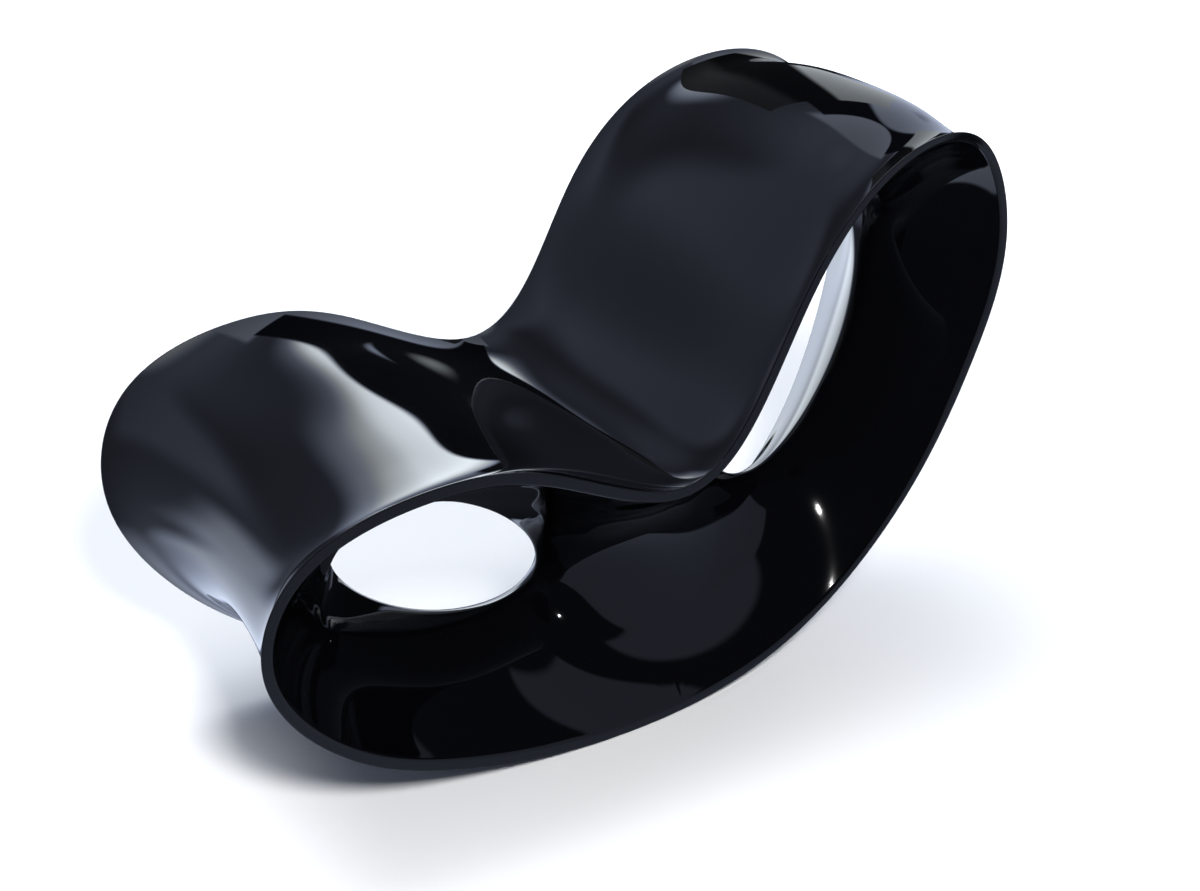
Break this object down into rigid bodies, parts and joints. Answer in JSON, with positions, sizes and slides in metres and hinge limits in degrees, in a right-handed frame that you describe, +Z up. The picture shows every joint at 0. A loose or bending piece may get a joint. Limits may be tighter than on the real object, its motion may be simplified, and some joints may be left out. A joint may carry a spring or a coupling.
{
  "type": "moulded plastic rocking chair",
  "caption": "Glossy black moulded plastic rocking chair: one closed loop of seat, backrest and rocker base, with an open tunnel under the seat and another behind the backrest.",
  "frame": {"origin": "centre of the bounding box at floor level", "axes": "+X to the back of the chair, +Y to its right-hand side, +Z up"},
  "size_m": [1.1385, 0.58, 0.7989],
  "materials": {
    "black_gloss": "gloss",
    "black_plain": "satin",
    "plug_rubber": "matte"
  },
  "bodies": {
    "root": {"seat_back_shell": "black_gloss", "rocker_shell": "black_gloss", "left_rim": "black_gloss", "right_rim": "black_gloss", "front_tunnel_left": "black_gloss", "front_tunnel_right": "black_gloss", "back_tunnel_left": "black_gloss", "back_tunnel_right": "black_gloss", "front_throat_band": "black_plain", "back_throat_band": "black_plain", "front_lap_strip": "black_plain", "top_lap_strip": "black_plain", "seat_rib_front": "black_plain", "seat_rib_rear": "black_plain", "back_rib_lower": "black_plain", "back_rib_upper": "black_plain", "rocker_rib_front": "black_plain", "rocker_rib_rear": "black_plain", "outer_back_rib_lower": "black_plain", "outer_back_rib_upper": "black_plain", "vent_plug_left": "plug_rubber", "vent_plug_right": "plug_rubber"}
  },
  "joints": []
}
